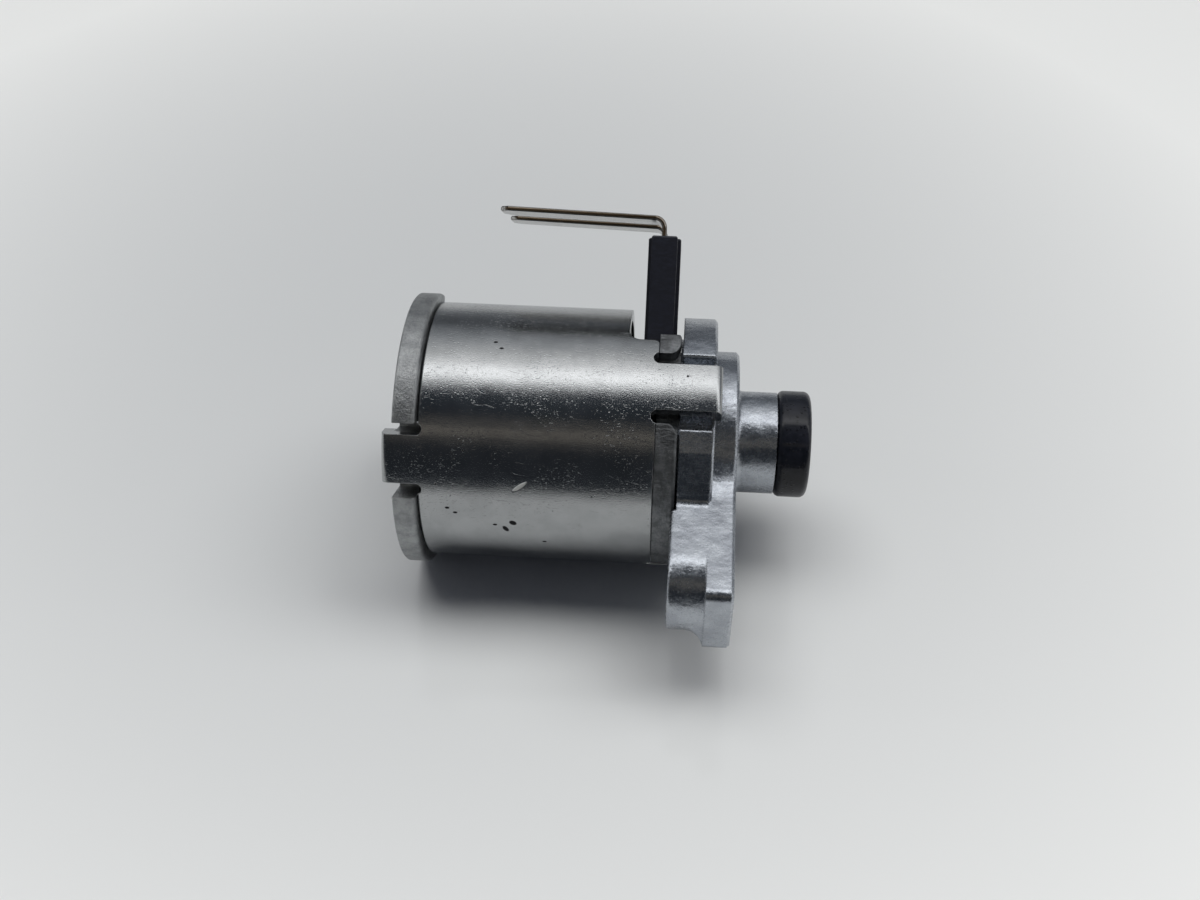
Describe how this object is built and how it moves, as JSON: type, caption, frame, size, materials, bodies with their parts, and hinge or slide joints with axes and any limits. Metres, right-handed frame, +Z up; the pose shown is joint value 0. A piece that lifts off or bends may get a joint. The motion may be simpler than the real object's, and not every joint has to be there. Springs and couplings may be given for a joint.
{
  "type": "oil control solenoid valve",
  "caption": "Solenoid valve with a crimped steel can, bent blade terminals, an eared cast flange and a sealed nose that plugs into an oil gallery.",
  "frame": {"origin": "on the valve axis, in the plane of the flange face that lies on the hydraulic block", "axes": "+X along the valve axis out through the spigot and nose, +Z up as the valve lies on a bench, -Y towards the bolt ear"},
  "size_m": [0.0446, 0.0452, 0.0367],
  "materials": {
    "cast_aluminium": "as die-cast, fine grain, bright on edges and fillets",
    "can_steel": "bright plated drawn steel with fine scratches and a few specks",
    "plate_steel_front": "punched steel with a dull sheared edge",
    "plate_steel_rear": "punched steel with a grainy sheared edge",
    "stop_steel": "turned and riveted over",
    "post_plastic": "moulded glass-filled nylon, satin",
    "spacer_plastic": "moulded, matte",
    "copper_wire": "enamelled copper winding wire",
    "tape": "amber insulating tape",
    "terminal_metal": "tinned brass strip, bright, with darker cut edges",
    "sleeve_metal": "drawn, non-magnetic",
    "bronze": "sintered bronze",
    "magnet_iron": "turned soft iron, plain",
    "shim_metal": "rolled foil",
    "hard_steel": "ground and polished",
    "spring_wire": "drawn spring wire",
    "plug_metal": "pressed and turned, plain",
    "seal_rubber": "oil-resistant rubber, oiled gloss"
  },
  "bodies": {
    "housing": {"ball_spring": "spring_wire", "bobbin": "post_plastic", "coil_leads": "copper_wire", "coil_tape": "tape", "coil_winding": "copper_wire", "flange_body": "cast_aluminium", "front_plate": "plate_steel_front", "gap_shim": "shim_metal", "guide_sleeve": "sleeve_metal", "nose_plug": "plug_metal", "nose_seal": "seal_rubber", "pin_bush": "bronze", "pole_core": "magnet_iron", "pole_oring": "seal_rubber", "rear_plate": "plate_steel_rear", "rear_stop": "stop_steel", "return_spring": "spring_wire", "spacer_ring": "spacer_plastic", "terminal_far": "terminal_metal", "terminal_near": "terminal_metal", "valve_seat": "hard_steel", "yoke_can": "can_steel"},
    "armature": {"plunger": "magnet_iron", "push_pin": "hard_steel"},
    "ball": {"valve_ball": "hard_steel"}
  },
  "joints": [
    {"name": "armature_slide", "type": "slide", "parent": "housing", "child": "armature", "axis": [1, 0, 0], "range_m": [0, 0.0006], "stiffness_N_per_m": 1200, "springref_m": -0.002, "deforming": ["return_spring"]},
    {"name": "ball_slide", "type": "slide", "parent": "housing", "child": "ball", "axis": [1, 0, 0], "range_m": [0, 0.0006], "stiffness_N_per_m": 300, "springref_m": -0.002, "deforming": ["ball_spring"]}
  ],
  "couplings": [
    {"joint": "ball_slide", "follows": "armature_slide", "ratio": 1}
  ]
}
